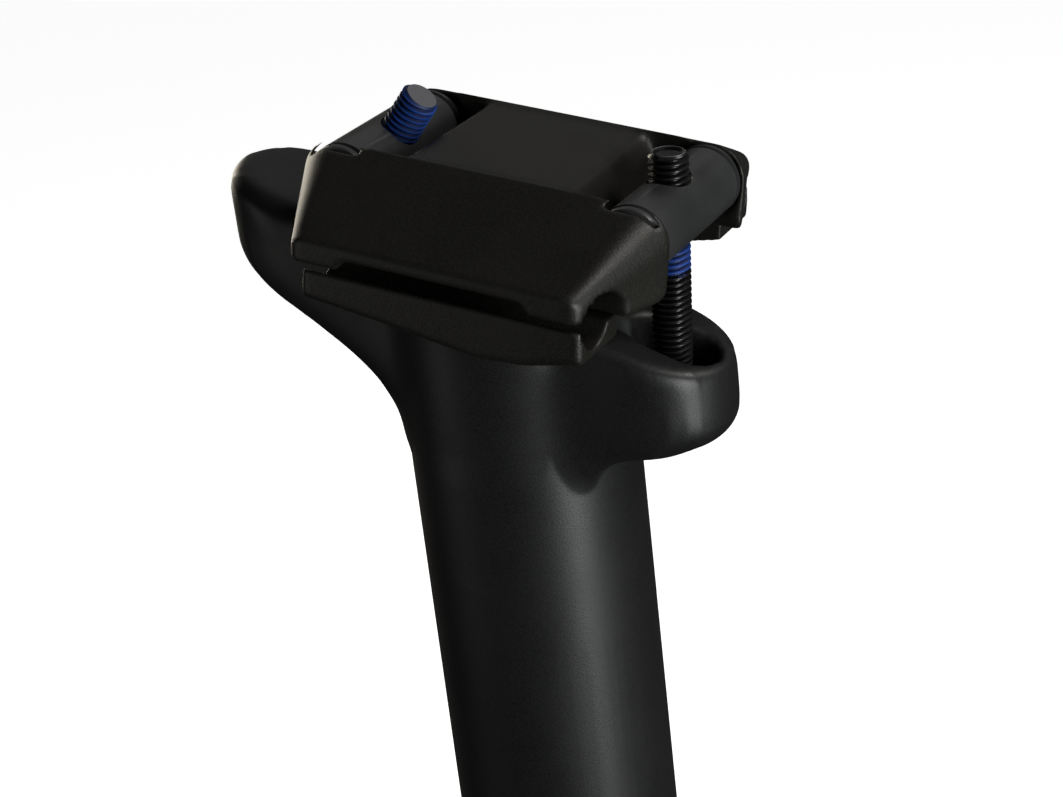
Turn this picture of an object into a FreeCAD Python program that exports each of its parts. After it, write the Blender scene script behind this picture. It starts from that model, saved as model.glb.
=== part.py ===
"""Telescopic suspension seatpost with a two-bolt saddle rail clamp.

Row frame: +X towards the front of the bicycle, +Y to its left, +Z up along the post.
The origin is on the post's axis at the minimum insertion line, 100 mm above its lower end.
Pieces of the rail clamp are drawn in the clamp's own frame, whose origin is midway between
the two rails, and are leaned forward with it.
"""
import FreeCAD, Part
import math
import os
import re
import Sketcher
from FreeCAD import Placement, Rotation, Vector

# alias, value in millimetres or degrees, what it is
SIZES = [
    ("rail_height", 250.0, "rail axes above the origin"),
    ("clamp_forward", 3.4, "clamp centre ahead of the post's axis"),
    ("clamp_lean", 9.0, "forward lean of the clamp's normal, degrees"),
    ("rail_spacing", 44.0, "distance between the rail axes"),
    ("rail_r", 3.5, "radius of a saddle rail and of its groove"),
    ("tube_r", 15.0, "outer radius of the sliding upper tube"),
    ("tube_inner_r", 12.0, "inner radius of the upper tube"),
    ("tube_seat_r", 14.5, "turned seat for the bushes at the tube's lower end"),
    ("tube_bottom", 60.0, "height of the upper tube's lower end"),
    ("tube_shoulder", 104.0, "height of the shoulder above the turned seat"),
    ("outer_r", 17.45, "outer radius of the lower tube, a 34.9 mm post"),
    ("thread_r", 17.2, "threaded land for the collar nut on the lower tube"),
    ("bore_r", 15.95, "bore of the lower tube"),
    ("outer_bottom", -100.0, "lower end of the post"),
    ("outer_top", 140.0, "upper end of the lower tube"),
    ("fit", 0.05, "radial clearance of a sliding or turning fit"),
    ("collar_r", 20.0, "outer radius of the collar nut"),
    ("collar_bottom", 126.0, "lower edge of the collar nut"),
    ("collar_top", 155.0, "upper edge of the collar nut"),
    ("travel", 40.0, "suspension travel"),
    ("key_width", 3.0, "width of a guide key"),
    ("key_low", 63.0, "lower end of a guide key"),
    ("key_length", 14.0, "length of a guide key"),
    ("key_outer_r", 16.30, "radius of a guide key's outer face"),
    ("keyway_r", 16.45, "radius of the keyway's floor"),
    ("keyway_bottom", 18.0, "lower end of the keyways"),
    ("spring_r", 11.3, "mean radius of the main spring"),
    ("spring_wire_r", 2.2, "radius of the spring wire"),
    ("spring_turns", 10.0, "turns of the main spring"),
    ("spring_low", -80.0, "lower end of the spring"),
    ("barrel_r", 4.5, "radius of a barrel nut"),
    ("barrel_half", 12.2, "half length of a barrel nut"),
    ("barrel_x", 19.4, "barrel nuts ahead of and behind the clamp centre"),
    ("barrel_z", 5.4, "barrel nuts above the rail axes"),
    ("wing_in", 11.3, "inner wall of an upper clamp wing"),
    ("wing_out", 26.8, "outer face of an upper clamp wing"),
    ("wing_half_in", 24.6, "half length of a wing at its inner wall"),
    ("wing_front_out", 19.6, "front end of a wing at its outer face"),
    ("wing_rear_out", -17.4, "rear end of a wing at its outer face"),
    ("wing_top_in", 10.5, "wing height at its inner wall"),
    ("wing_top_out", 3.85, "wing height at its outer face"),
    ("wing_low", -0.9, "lowest edge of the inner lip"),
    ("foot_low", 0.8, "lower edge of the outer feet"),
    ("bridge_top", 10.0, "top of the bridge between the barrel nuts"),
    ("cradle_r", 27.0, "radius of the lower clamp's rocker"),
    ("cradle_z", 18.0, "tilt axis above the rail axes"),
    ("rocker_half", 15.9, "half width of the rocker"),
    ("bolt_notch_r", 3.2, "radius of the notches for the bolts in the lower clamp"),
    ("lower_half_x", 18.2, "half length of the lower clamp's rocker"),
    ("side_front", 20.2, "front end of the lower clamp's side rails"),
    ("side_rear", -16.6, "rear end of the lower clamp's side rails"),
    ("lower_half_y", 26.2, "half width of the lower clamp"),
    ("lower_top", -0.3, "top of the lower clamp's side rails"),
    ("rocker_top", -1.4, "top of the lower clamp between its side rails"),
    ("ear_half", 10.0, "half width of the head's two ears"),
    ("ear_front", 29.8, "front end of the front ear"),
    ("ear_rear", -37.6, "rear end of the rear ear"),
    ("ear_line", -5.9, "height of the ears' top line on the post's axis"),
    ("ear_fall", 20.45, "fall of the ears' top line towards the front, degrees"),
    ("slot_half", 3.75, "half width of a bolt slot"),
    ("bolt_r", 2.5, "radius of a clamp bolt"),
    ("bolt_head_r", 4.25, "radius of a clamp bolt's head"),
    ("bolt_head", 5.0, "height of a clamp bolt's head"),
    ("bolt_socket", 4.0, "hex key size of the clamp bolts"),
    ("front_bolt_lean", 3.9, "front bolt's lean from the post's axis, degrees"),
    ("rear_bolt_lean", 39.6, "rear bolt's lean from the post's axis, degrees"),
    ("front_tip", 7.5, "front bolt's end above its barrel nut"),
    ("rear_tip", 9.6, "rear bolt's end above its barrel nut"),
    ("front_bolt_length", 32.0, "length of the front bolt under its head"),
    ("rear_bolt_length", 28.0, "length of the rear bolt under its head"),
    ("seat_thick", 2.6, "thickness of a rocking bolt seat"),
    ("seat_half_x", 4.5, "half length of a bolt seat"),
    ("seat_half_y", 5.0, "half width of a bolt seat"),
    ("seat_r", 9.0, "radius of a bolt seat's rocking face"),
    ("seat_gap", 0.7, "clearance at the open pivots under the ears"),
    ("plug_top", -84.0, "upper face of the preload plug"),
    ("plug_socket", 10.0, "hex key size of the preload plug"),
]

doc = FreeCAD.newDocument("suspension_seatpost")
sheet = doc.addObject("Spreadsheet::Sheet", "Sizes")
for row, (alias, value, meaning) in enumerate(SIZES, start=1):
    sheet.set(f"A{row}", meaning)
    sheet.set(f"B{row}", str(value))
    sheet.setAlias(f"B{row}", alias)
doc.recompute()

NODES = []
ALIASES = {entry[0] for entry in SIZES}


def size(alias):
    """One driving size as a number."""
    return float(sheet.get(alias))


def bound(text):
    """An expression on the sheet: every word that is an alias gets the sheet's name."""
    return re.sub(r"[a-z_]+", lambda word: f"Sizes.{word[0]}" if word[0] in ALIASES else word[0], text)


def number(text):
    """The value of an expression on the sheet."""
    result = sheet.evalExpression(bound(text))
    return float(getattr(result, "Value", result))


def bind(feature, **properties):
    """Tie properties of a feature to expressions; a double underscore stands for a dot."""
    for name, text in properties.items():
        feature.setExpression(name.replace("__", "."), bound(text))
    return feature


def place(feature, x="0", y="0", z="0", turn=None, axis=Vector(0, 1, 0)):
    """Place a feature at bound coordinates, turned by a bound angle about an axis."""
    if turn is not None:
        feature.Placement = Placement(Vector(), Rotation(axis, number(turn)))
        feature.setExpression("Placement.Rotation.Angle", f"({bound(turn)}) * 1 deg")
    return bind(feature, Placement__Base__x=x, Placement__Base__y=y, Placement__Base__z=z)


def node(feature, label):
    """Mark a finished feature as one of the part's pieces."""
    feature.Label = label
    NODES.append(feature)
    return feature


def cylinder(name, radius, height, x="0", y="0", z="0", axis=Vector(0, 0, 1), centred=False):
    """A bound cylinder along an axis, from a point or centred on it."""
    feature = bind(doc.addObject("Part::Cylinder", name), Radius=radius, Height=height)
    rotation = Rotation(Vector(0, 0, 1), axis)
    feature.Placement = Placement(Vector(), rotation)
    start = [x, y, z]
    if centred:
        start = [f"{text} - ({height}) / 2 * {part:.0f}" for text, part in zip(start, axis)]
    return bind(feature, Placement__Base__x=start[0], Placement__Base__y=start[1],
                Placement__Base__z=start[2])


def box(name, low, high):
    """A bound box between two corners."""
    feature = doc.addObject("Part::Box", name)
    for prop, first, last in zip(("Length", "Width", "Height"), low, high):
        bind(feature, **{prop: f"({last}) - ({first})"})
    return bind(feature, Placement__Base__x=low[0], Placement__Base__y=low[1],
                Placement__Base__z=low[2])


def outline(name, points, plane="XZ"):
    """A free sketch of a closed outline on a plane, each corner tied to two expressions."""
    sketch = doc.addObject("Sketcher::SketchObject", name)
    turns = {"XZ": Rotation(Vector(1, 0, 0), 90), "XY": Rotation(),
             "YZ": Rotation(Vector(0.5773503, 0.5773503, 0.5773503), 120)}
    sketch.Placement = Placement(Vector(), turns[plane])
    draw_outline(sketch, points)
    return sketch


def draw_outline(sketch, points):
    """Draw a closed outline in a sketch and tie its corners to the sheet."""
    corners = [Vector(number(x), number(y), 0) for x, y in points]
    count = len(corners)
    for index, corner in enumerate(corners):
        sketch.addGeometry(Part.LineSegment(corner, corners[(index + 1) % count]), False)
    for index in range(count):
        sketch.addConstraint(Sketcher.Constraint("Coincident", index, 2, (index + 1) % count, 1))
    for index, (x, y) in enumerate(points):
        for kind, text, value in (("DistanceX", x, corners[index].x), ("DistanceY", y, corners[index].y)):
            if abs(value) < 1e-9:
                axis = -2 if kind == "DistanceX" else -1
                sketch.addConstraint(Sketcher.Constraint("PointOnObject", index, 1, axis))
                continue
            place_at = sketch.addConstraint(Sketcher.Constraint(kind, -1, 1, index, 1, value))
            sketch.setExpression(f"Constraints[{place_at}]", bound(text))


def extrusion(name, sketch, length, along=Vector(0, 1, 0)):
    """A solid pulled from a sketch both ways, half the length each way."""
    feature = doc.addObject("Part::Extrusion", name)
    feature.Base = sketch
    feature.DirMode = "Custom"
    feature.Dir = along
    feature.Solid = True
    feature.Symmetric = True
    return bind(feature, LengthFwd=length)


def cut(name, base, *tools):
    """A solid less one or more tools."""
    tool = tools[0] if len(tools) == 1 else fuse(name + "_tools", *tools)
    feature = doc.addObject("Part::Cut", name)
    feature.Base = base
    feature.Tool = tool
    return feature


def fuse(name, *shapes):
    """Several solids joined into one."""
    feature = doc.addObject("Part::MultiFuse", name)
    feature.Shapes = list(shapes)
    feature.Refine = True
    return feature


def common(name, *shapes):
    """What several solids share."""
    feature = doc.addObject("Part::MultiCommon", name)
    feature.Shapes = list(shapes)
    return feature


def mirrored(name, source, normal=Vector(0, 1, 0)):
    """A mirror image across a plane through the origin."""
    feature = doc.addObject("Part::Mirroring", name)
    feature.Source = source
    feature.Normal = normal
    return feature


def rounded(name, base, radii):
    """A solid with edges rounded; radii maps a test on an edge to one or two radii."""
    doc.recompute()
    chosen = []
    for index, edge in enumerate(base.Shape.Edges, start=1):
        for test, pair in radii:
            if test(edge):
                first, second = pair if isinstance(pair, tuple) else (pair, pair)
                if edge.valueAt(edge.FirstParameter).y > edge.valueAt(edge.LastParameter).y:
                    first, second = second, first
                chosen.append((index, first, second))
                break
    feature = doc.addObject("Part::Fillet", name)
    feature.Base = base
    feature.Edges = chosen
    return feature


def turned(label, points):
    """A turned piece: a closed outline of radius and height, revolved about the post's axis."""
    body = doc.addObject("PartDesign::Body", label)
    sketch = body.newObject("Sketcher::SketchObject", label + "_outline")
    plane = next(item for item in body.Origin.OriginFeatures if item.Role == "XZ_Plane")
    sketch.AttachmentSupport = [(plane, "")]
    sketch.MapMode = "FlatFace"
    draw_outline(sketch, points)
    revolution = body.newObject("PartDesign::Revolution", label + "_turning")
    revolution.Profile = sketch
    revolution.ReferenceAxis = (sketch, ["V_Axis"])
    revolution.Angle = 360
    body.Tip = revolution
    return body


def ring(label, inner, outer, low, high, edge="0.3"):
    """A turned ring with its four corners broken."""
    near, far = f"({inner})", f"({outer})"
    return turned(label, [
        (f"{near} + {edge}", low), (f"{far} - {edge}", low), (far, f"{low} + {edge}"),
        (far, f"{high} - {edge}"), (f"{far} - {edge}", high), (f"{near} + {edge}", high),
        (near, f"{high} - {edge}"), (near, f"{low} + {edge}")])


def hexagon(name, across, height, x="0", y="0", z="0"):
    """A bound hexagonal prism, measured across its flats."""
    feature = bind(doc.addObject("Part::Prism", name), Circumradius=f"{across} / 1.7320508", Height=height)
    feature.Polygon = 6
    return bind(feature, Placement__Base__x=x, Placement__Base__y=y, Placement__Base__z=z)


def parallel(edge, direction):
    """Whether an edge is straight and runs along a direction."""
    if edge.Curve.TypeId != "Part::GeomLine":
        return False
    return abs(abs(edge.Curve.Direction.dot(direction)) - 1) < 1e-6


FORWARD = Vector(1, 0, 0)
LEFT = Vector(0, 1, 0)
UP = Vector(0, 0, 1)


def clamp_place(feature):
    """Lean a clamp piece forward about its own left-right axis and lift it to the rails."""
    return place(feature, x="clamp_forward", z="rail_height", turn="clamp_lean")


# --- suspension, below the head ---------------------------------------------------------


def key_boxes(name, low, high, reach, width):
    """Three radial bars, one every 120 degrees, the first towards the rear."""
    bars = []
    for count in range(3):
        bar = box(f"{name}_{count + 1}", ("0", f"-({width}) / 2", low), (reach, f"({width}) / 2", high))
        bar.Placement = Placement(Vector(), Rotation(UP, 180 + 120 * count))
        angle = math.radians(180 + 120 * count)
        bind(bar, Placement__Base__x=f"({width}) / 2 * {math.sin(angle):.9f}",
             Placement__Base__y=f"-({width}) / 2 * {math.cos(angle):.9f}", Placement__Base__z=low)
        bars.append(bar)
    return bars


def build_lower_tube():
    """The post's outer tube: bore, thread land at the foot and three broached keyways."""
    tube = turned("lower_tube_blank", [
        ("bore_r", "outer_bottom"), ("outer_r - 1", "outer_bottom"), ("outer_r", "outer_bottom + 1"),
        ("outer_r", "collar_bottom - 0.5"), ("thread_r", "collar_bottom - 0.5"), ("thread_r", "outer_top"),
        ("bore_r", "outer_top")])
    broach = common("keyway_broach",
                    fuse("keyway_bars", *key_boxes("keyway_bar", "keyway_bottom", "outer_top + 1",
                                                   "keyway_r + 2", "key_width + 2 * fit")),
                    cylinder("keyway_reach", "keyway_r", "outer_top - keyway_bottom + 4", z="keyway_bottom - 2"))
    node(cut("lower_tube_body", tube, broach), "lower_tube")


def build_collar():
    """The collar nut, its wiper seal, the static seal below it and the upper bush."""
    wiper_low, wiper_high = "collar_top - 8", "collar_top - 3"
    collar = turned("collar_blank", [
        ("thread_r + 0.02", "collar_bottom"), ("collar_r - 1.5", "collar_bottom"),
        ("collar_r", "collar_bottom + 1.5"),
        ("collar_r", "collar_top - 6"), ("collar_r - 1", "collar_top - 2.4"), ("collar_r - 3", "collar_top"),
        ("tube_r + 0.5", "collar_top"), ("tube_r + 0.5", wiper_high), ("tube_r + 2.2", wiper_high),
        ("tube_r + 2.2", wiper_low), ("tube_r + 0.5", wiper_low), ("tube_r + 0.5", "outer_top + 0.02"),
        ("thread_r + 0.02", "outer_top + 0.02")])
    flats = [box(f"collar_flat_{side}", ("-collar_r - 1", low, "collar_bottom + 4"),
                 ("collar_r + 1", high, "collar_bottom + 14"))
             for side, low, high in (("left", "collar_r - 1.2", "collar_r + 1"),
                                     ("right", "-collar_r - 1", "1.2 - collar_r"))]
    node(cut("collar_body", collar, *flats), "collar_nut")
    node(turned("wiper_ring", [
        ("tube_r + fit", f"{wiper_high} - 0.6"), ("tube_r + 0.9", f"{wiper_low} + 0.1"),
        ("tube_r + 2.15", f"{wiper_low} + 0.1"), ("tube_r + 2.15", f"{wiper_high} - 0.1"),
        ("tube_r + fit", f"{wiper_high} - 0.1")]), "wiper_seal")
    node(ring("upper_bush_ring", "tube_r + fit", "bore_r - 0.02", "tube_shoulder + 0.3", "outer_top - 0.2"),
         "upper_bush")


def build_slider_fittings():
    """What rides at the upper tube's lower end: bush, keys, top-out ring, sleeve and end cap."""
    bush = ring("lower_bush_ring", "tube_seat_r", "bore_r - fit", "tube_bottom", "tube_bottom + 20")
    pockets = key_boxes("bush_pocket", "key_low", "key_low + key_length", "bore_r + 1", "key_width")
    node(cut("lower_bush_body", bush, *pockets), "lower_bush")
    node(ring("top_out_band", "tube_seat_r", "bore_r - 0.35", "tube_bottom + 20", "tube_bottom + 25", "0.4"),
         "top_out_ring")
    node(ring("distance_band", "tube_seat_r", "bore_r - 0.25", "tube_bottom + 25", "tube_shoulder"),
         "distance_sleeve")
    bars = key_boxes("key_bar", "key_low", "key_low + key_length", "key_outer_r", "key_width")
    for count, bar in enumerate(bars, start=1):
        inner = cylinder(f"key_inner_{count}", "tube_inner_r + 1", "key_length + 2", z="key_low - 1")
        node(cut(f"key_body_{count}", bar, inner), f"guide_key_{count}")
    node(turned("end_cap_turning", [
        ("4", "tube_bottom - 4"), ("bore_r - 0.3", "tube_bottom - 4"), ("bore_r - 0.3", "tube_bottom"),
        ("tube_inner_r - 0.02", "tube_bottom"), ("tube_inner_r - 0.02", "key_low - 1"),
        ("4", "key_low - 1")]), "spring_end_cap")


def build_spring():
    """The main spring, its lower seat, the bottom-out bumper and the preload plug."""
    node(ring("spring_washer", "4", "bore_r - 0.3", "spring_low - 2", "spring_low", "0.4"), "spring_seat_washer")
    low, high = size("spring_low"), size("tube_bottom") - 4
    wire, mean, turns = size("spring_wire_r"), size("spring_r"), size("spring_turns")
    rise = (high - low - 2 * wire) / turns
    helix = Part.makeLongHelix(rise, high - low - 2 * wire, mean)
    section = Part.Wire([Part.Circle(Vector(mean, 0, 0), LEFT, wire).toShape()])
    coil = Part.Wire(helix.Edges).makePipeShell([section], True, False)
    spring = doc.addObject("Part::Feature", "spring_coil")
    spring.Shape = coil
    spring.Placement = Placement(Vector(0, 0, low + wire), Rotation())
    node(spring, "main_spring")
    node(turned("bumper_rod", [
        ("0", "spring_low"), ("6.5", "spring_low"), ("6.5", "tube_bottom - travel - 12"),
        ("4", "tube_bottom - travel - 6"), ("0", "tube_bottom - travel - 6")]), "bottom_out_bumper")
    blank = turned("plug_blank", [
        ("0", "outer_bottom + 1.5"), ("bore_r - 1.3", "outer_bottom + 1.5"), ("bore_r - fit", "outer_bottom + 2.8"),
        ("bore_r - fit", "plug_top - 6"), ("bore_r - 1.4", "plug_top - 6"), ("bore_r - 1.4", "plug_top - 3.4"),
        ("bore_r - fit", "plug_top - 3.4"), ("bore_r - fit", "plug_top - 0.02"), ("0", "plug_top - 0.02")])
    socket = hexagon("plug_hexagon", "plug_socket", "9", z="outer_bottom + 0.5")
    node(cut("plug_body", blank, socket), "preload_plug")
    node(ring("plug_seal_ring", "bore_r - 1.4", "bore_r - 0.1", "plug_top - 5.7", "plug_top - 3.7", "0.5"),
         "plug_seal")


def build_spacer():
    """The thin spacer between the preload plug and the spring's lower seat."""
    node(ring("plug_spacer_ring", "8", "bore_r - 0.4", "plug_top", "spring_low - 2", "0.3"), "spring_spacer")


# --- head and upper tube -----------------------------------------------------------------


def bolt_point(side, distance):
    """Row coordinates of a point below a barrel nut's axis, along its bolt, as expressions."""
    lean = f"{side}_bolt_lean"
    sign = "1" if side == "front" else "-1"
    across, rise = f"{sign} * barrel_x", "barrel_z"
    cosine, sine = "cos(clamp_lean * 1 deg)", "sin(clamp_lean * 1 deg)"
    x = f"clamp_forward + {across} * {cosine} + {rise} * {sine} - ({distance}) * sin({lean} * 1 deg)"
    z = f"rail_height - {across} * {sine} + {rise} * {cosine} - ({distance}) * cos({lean} * 1 deg)"
    return x, z


def seat_depth(side):
    """How far the top of a bolt seat lies below its barrel nut's axis."""
    return f"({side}_bolt_length - {side}_tip - seat_thick)"


def build_head():
    """The forged head and upper tube: two slotted ears, the rocker's cradle and the long tube."""
    slope = "tan(ear_fall * 1 deg)"
    top = lambda x: (f"rail_height + ear_line - ({x}) * {slope}")
    sketch = outline("ear_outline", [
        ("ear_rear", top("ear_rear")), ("ear_rear", "rail_height - 4.2"), ("-34.5", "rail_height - 6.2"),
        ("-24.5", "rail_height - 12.8"), ("-19.8", "rail_height - 16.1"), ("-15.8", "rail_height - 19.8"),
        ("-13.4", "rail_height - 24"), ("-12.5", "rail_height - 32"), ("12.5", "rail_height - 32"),
        ("14.6", "rail_height - 29.7"), ("17.5", "rail_height - 28"), ("ear_front", "rail_height - 27.4"),
        ("ear_front", top("ear_front"))])
    ears = extrusion("ear_plate", sketch, "2 * ear_half + 20")
    plan = box("ear_plan_box", ("ear_rear", "-ear_half", "rail_height - 60"),
               ("ear_front", "ear_half", "rail_height + 30"))
    doc.recompute()
    plan_round = rounded("ear_plan", plan, [(lambda edge: parallel(edge, UP), size("ear_half") - 0.05)])
    tube_blank = cylinder("head_tube", "tube_r", "rail_height - tube_shoulder + 10", z="tube_shoulder")
    above = outline("above_ears", [
        ("-60", top("-60")), ("60", top("60")), ("60", "rail_height + 60"), ("-60", "rail_height + 60")])
    trimmer = extrusion("above_ears_block", above, "100")
    raw = fuse("head_raw", common("ears", ears, plan_round), tube_blank)
    trimmed = cut("head_trimmed", raw, trimmer)
    doc.recompute()

    def top_rim(edge):
        """An edge that lies wholly in the sloping plane on top of the ears."""
        slope_value = math.tan(math.radians(size("ear_fall")))
        return all(abs(v.Point.z - (size("rail_height") + size("ear_line") - v.Point.x * slope_value)) < 1e-3
                   for v in edge.Vertexes) and edge.Length > 0.5

    softened = rounded("head_softened", trimmed, [(top_rim, 1.5)])
    cradle_x = ("clamp_forward + cradle_z * sin(clamp_lean * 1 deg)")
    cradle_up = ("rail_height + cradle_z * cos(clamp_lean * 1 deg)")
    cradle = cylinder("cradle_cut", "cradle_r + fit", "60", x=cradle_x, z=cradle_up, axis=LEFT, centred=True)
    seat_land = cylinder("tube_seat_outer", "tube_seat_r", "tube_shoulder - tube_bottom", z="tube_bottom")
    whole = fuse("head_and_tube", softened, seat_land)
    bore = cylinder("tube_bore", "tube_inner_r", "rail_height - 34 - tube_bottom + 1", z="tube_bottom - 1")
    pockets = key_boxes("tube_pocket", "key_low", "key_low + key_length", "tube_r + 1", "key_width")
    cuts = [cradle, bore] + pockets
    for side, lean, half in (("front", "5", 5.75), ("rear", "34", 5.2)):
        cuts.append(bolt_slot(side, lean, half))
        seat_x, seat_z = bolt_point(side, f"{seat_depth(side)} + seat_r")
        cuts.append(seat_scoop(side, seat_x, seat_z))
    node(cut("upper_post_body", whole, *cuts), "upper_post")


def bolt_slot(side, lean, half):
    """A slot with round ends through an ear, along the mean direction of its bolt."""
    x, z = bolt_point(side, seat_depth(side))
    block = box(f"{side}_slot_box", (f"-{half}", "-slot_half", "-12"), (f"{half}", "slot_half", "30"))
    slot = rounded(f"{side}_slot", block, [(lambda edge: parallel(edge, UP), size("slot_half") - 0.05)])
    holder = fuse(f"{side}_slot_holder", slot, box(f"{side}_slot_core", ("-1", "-1", "-11"), ("1", "1", "29")))
    return place(holder, x=x, z=z, turn=lean)


def seat_scoop(side, x, z):
    """The hollow under an ear in which the bolt's seat rocks, open downwards."""
    scoop = cylinder(f"{side}_scoop_round", "seat_r + seat_gap", "13", axis=LEFT, centred=True)
    rear_reach, front_reach = "-seat_half_x - 1.9", "seat_half_x + 0.7"
    keep = box(f"{side}_scoop_limit", (rear_reach, "-seat_half_y - 0.3", "0"),
               (front_reach, "seat_half_y + 0.3", "seat_r + 3"))
    open_part = box(f"{side}_scoop_open", (rear_reach, "-seat_half_y - 0.3", "-1"),
                    (front_reach, "seat_half_y + 0.3", "seat_r - 5"))
    scoop_solid = fuse(f"{side}_scoop", common(f"{side}_scoop_top", scoop, keep), open_part)
    return place(scoop_solid, x=x, z=z, turn=f"{side}_bolt_lean")


# --- rail clamp --------------------------------------------------------------------------


def rail_grooves(name):
    """Two rail-sized cutters along the clamp."""
    return [cylinder(f"{name}_{side}", "rail_r", "80", y=f"{sign}rail_spacing / 2", axis=FORWARD, centred=True)
            for side, sign in (("left", ""), ("right", "-"))]


def build_lower_clamp():
    """The lower clamp: a rocker between two grooved side rails with bowed undersides."""
    rails = extrusion("side_rails", outline("side_rail_outline", [
        ("side_rear", "lower_top"), ("side_rear", "-4.1"), ("-5", "-5.2"), ("1.5", "-6"),
        ("7", "-6.6"), ("13", "-6.1"), ("side_front", "-4.3"), ("side_front", "lower_top")]),
        "2 * lower_half_y")
    bevelled = rounded("side_rails_soft", rails, [
        (lambda edge: abs(abs(edge.CenterOfMass.y) - size("lower_half_y")) < 0.01
         and (parallel(edge, UP) or edge.CenterOfMass.z < -3), 1.2)])
    rocker = common("rocker",
                    box("rocker_block", ("-lower_half_x", "-rocker_half", "-12"),
                        ("lower_half_x", "rocker_half", "rocker_top")),
                    cylinder("rocker_round", "cradle_r", "2 * rocker_half", z="cradle_z", axis=LEFT, centred=True))
    hollow = box("under_rocker", ("-30", "-rocker_half", "-12"), ("30", "rocker_half", "lower_top + 1"))
    rails_only = cut("side_rails_only", bevelled, hollow)
    whole = fuse("lower_clamp_whole", rails_only, rocker)
    step = box("lip_clearance", ("-30", "rail_r - rail_spacing / 2 - 0.2", "rocker_top"),
               ("30", "rail_spacing / 2 - rail_r + 0.2", "lower_top + 1"))
    notches = [cylinder(f"{side}_bolt_notch", "bolt_notch_r", "30", x=f"{sign}barrel_x", z="-25")
               for side, sign in (("front", ""), ("rear", "-"))]
    node(clamp_place(cut("lower_clamp_body", whole, step, *notches, *rail_grooves("lower_groove"))), "lower_clamp")


def build_upper_clamp():
    """The upper clamp: two tapering wings over the rails and a bridge between the barrel nuts."""
    wedge = bind(doc.addObject("Part::Wedge", "wing_wedge"),
                 Ymin="wing_in", Ymax="wing_out", Zmin="wing_low", Z2min="wing_low", Zmax="wing_top_in",
                 Z2max="wing_top_out", Xmin="-wing_half_in", Xmax="wing_half_in",
                 X2min="wing_rear_out", X2max="wing_front_out")
    shoulder_in, shoulder_out = size("wing_half_in"), (size("wing_front_out"), size("wing_rear_out"))

    def shoulder(edge):
        """One of the two long edges between the sloping face and an end face."""
        ends = sorted(edge.Vertexes, key=lambda v: v.Point.y)
        return (abs(abs(ends[0].Point.x) - shoulder_in) < 1e-3 and ends[0].Point.z > 0
                and min(abs(ends[-1].Point.x - x) for x in shoulder_out) < 1e-3 and ends[-1].Point.z > 0)

    soft = rounded("wing_soft", wedge, [
        (shoulder, (5.0, 2.0)),
        (lambda edge: parallel(edge, UP) and edge.CenterOfMass.y > size("wing_out") - 0.1, 2.0)])
    under = cut("wing_under", soft,
                box("foot_cut", ("-40", "rail_spacing / 2", "-9"), ("40", "wing_out + 5", "foot_low")),
                box("mouth_cut", ("-40", "rail_spacing / 2 - rail_r", "-9"), ("40", "rail_spacing / 2", "0")),
                rounded("lip_relief", box("lip_relief_box", ("wing_rear_out + 6", "rail_spacing / 2 + 2", "-2"),
                                         ("wing_front_out - 6", "wing_out + 5", "2.2")),
                        [(lambda edge: parallel(edge, LEFT) and edge.CenterOfMass.z > 2, 2.0)]))
    lip = rounded("wing_lip", under, [
        (lambda edge: parallel(edge, FORWARD) and abs(edge.CenterOfMass.z - size("wing_low")) < 0.01
         and edge.CenterOfMass.y < size("wing_in") + 0.1, 2.0)])
    bridge = extrusion("bridge", outline("bridge_outline", [
        ("-10.8", "bridge_top"), ("-13.7", "4.4"), ("-15.9", "2.9"), ("-15.9", "0.2"), ("15.9", "0.2"),
        ("15.9", "2.9"), ("13.7", "4.4"), ("10.8", "bridge_top")]), "2 * wing_in + 0.4")
    whole = fuse("upper_clamp_whole", lip, mirrored("right_wing", lip), bridge)
    pockets = [cylinder(f"{side}_barrel_pocket", "barrel_r + fit", "2 * wing_in + 2", x=f"{sign}barrel_x",
                        z="barrel_z", axis=LEFT, centred=True) for side, sign in (("front", ""), ("rear", "-"))]
    node(clamp_place(cut("upper_clamp_body", whole, *pockets, *rail_grooves("upper_groove"))), "upper_clamp")


def build_bolt_set(side, lean):
    """One clamp bolt with its barrel nut and its rocking seat."""
    x, z = bolt_point(side, "0")
    nut = cylinder(f"{side}_barrel", "barrel_r", "2 * barrel_half", axis=LEFT, centred=True)
    soft_nut = rounded(f"{side}_barrel_soft", nut, [(lambda edge: edge.Curve.TypeId == "Part::GeomCircle", 0.4)])
    thread_hole = cylinder(f"{side}_thread_hole", "bolt_r + fit", "20", z="-10")
    node(place(cut(f"{side}_nut_body", soft_nut, thread_hole), x=x, z=z, turn=lean), f"{side}_barrel_nut")

    reach = f"{side}_bolt_length - {side}_tip"
    shank = cylinder(f"{side}_shank", "bolt_r", f"{side}_bolt_length", z=f"-({reach})")
    head = cylinder(f"{side}_bolt_cap", "bolt_head_r", "bolt_head", z=f"-({reach}) - bolt_head")
    socket = hexagon(f"{side}_bolt_hexagon", "bolt_socket", "3.5", z=f"-({reach}) - bolt_head - 0.5")
    whole = fuse(f"{side}_bolt_whole", shank, head)
    node(place(cut(f"{side}_bolt_body", whole, socket), x=x, z=z, turn=lean), f"{side}_clamp_bolt")

    seat_round = cylinder(f"{side}_seat_round", "seat_r", "11", z=f"-{seat_depth(side)} - seat_r",
                          axis=LEFT, centred=True)
    seat_block = box(f"{side}_seat_block", ("-seat_half_x", "-seat_half_y", f"-({reach})"),
                     ("seat_half_x", "seat_half_y", f"-{seat_depth(side)}"))
    seat_hole = cylinder(f"{side}_seat_hole", "bolt_r + fit", "12", z=f"-({reach}) - 3")
    seat = cut(f"{side}_seat_body", common(f"{side}_seat_blank", seat_round, seat_block), seat_hole)
    node(place(seat, x=x, z=z, turn=lean), f"{side}_bolt_seat")


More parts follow.
